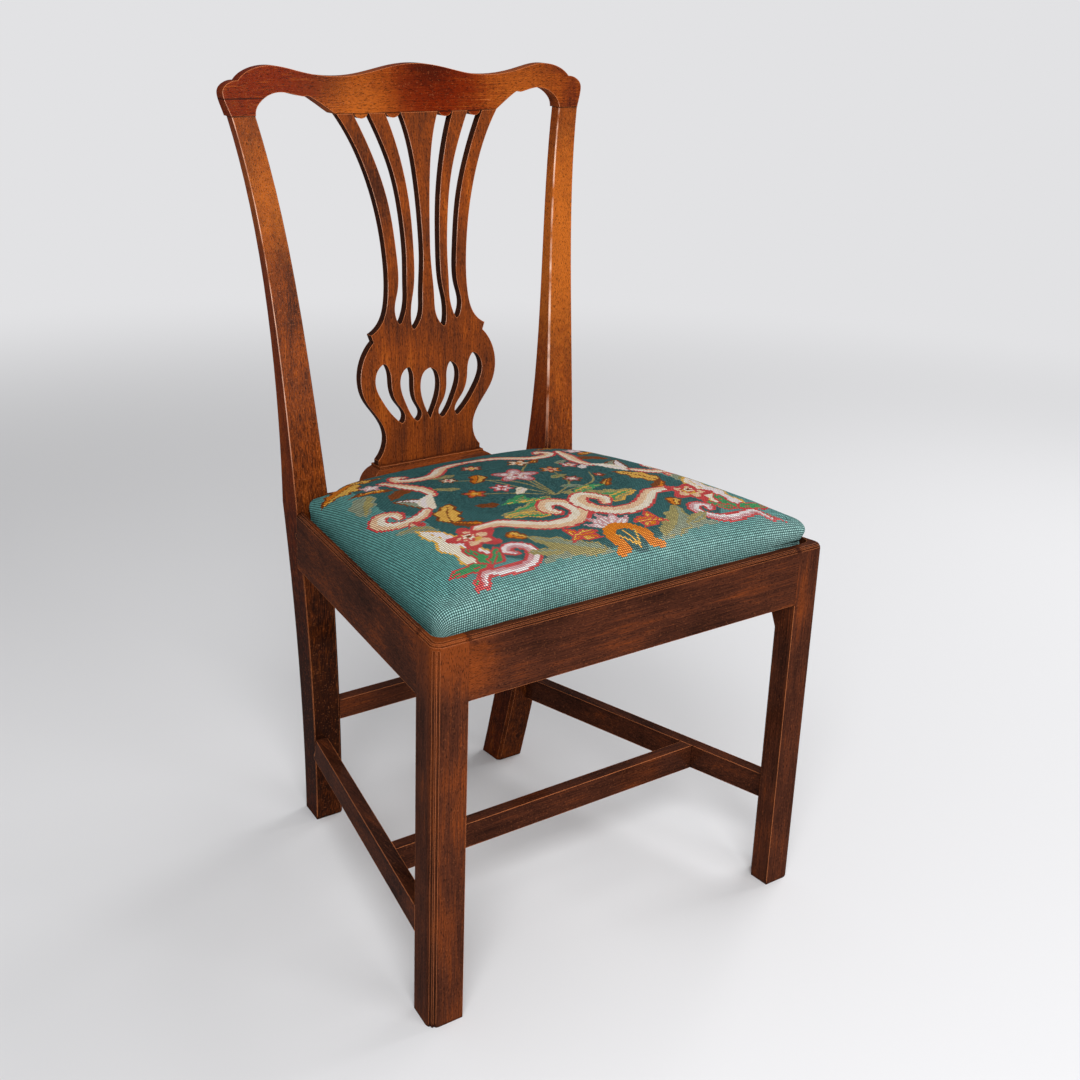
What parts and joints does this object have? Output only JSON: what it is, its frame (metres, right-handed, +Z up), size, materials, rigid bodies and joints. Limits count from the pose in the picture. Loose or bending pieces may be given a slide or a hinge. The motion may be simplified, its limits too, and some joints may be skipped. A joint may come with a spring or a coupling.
{
  "type": "side chair",
  "caption": "Mahogany side chair with a serpentine crest, pierced vase splat, square stretchered legs and a lift-out needlework seat.",
  "frame": {"origin": "centre of the bounding box on the floor", "axes": "+X to the viewer's right of a viewer in front, +Y to the back of the chair, +Z up"},
  "size_m": [0.5362, 0.486, 0.9535],
  "materials": {
    "mahogany": "waxed, worn at the edges",
    "beech": "plain, aged",
    "needlework": "wool canvas work",
    "horsehair": "loose stuffing",
    "hessian": "plain weave",
    "webbing": "plain weave",
    "tack_iron": "blued"
  },
  "bodies": {
    "chair_frame": {"back_post_left": "mahogany", "back_post_right": "mahogany", "front_leg_left": "mahogany", "front_leg_right": "mahogany", "crest_rail": "mahogany", "splat": "mahogany", "splat_shoe": "mahogany", "front_seat_rail": "mahogany", "side_seat_rail_left": "mahogany", "side_seat_rail_right": "mahogany", "rear_seat_rail": "mahogany", "side_stretcher_left": "mahogany", "side_stretcher_right": "mahogany", "cross_stretcher": "mahogany", "rear_stretcher": "mahogany", "corner_block_front_left": "beech", "corner_block_front_right": "beech", "corner_block_rear_left": "beech", "corner_block_rear_right": "beech", "joint_pegs": "mahogany"},
    "drop_in_seat": {"seat_frame_front": "beech", "seat_frame_back": "beech", "seat_frame_left": "beech", "seat_frame_right": "beech", "webbing_lengthwise": "webbing", "webbing_crosswise": "webbing", "hessian": "hessian", "stuffing": "horsehair", "needlework_cover": "needlework", "cover_tacks": "tack_iron"}
  },
  "joints": [
    {"name": "seat_lift", "type": "slide", "parent": "chair_frame", "child": "drop_in_seat", "axis": [0, 0, 1], "range_m": [0, 0.15]}
  ]
}
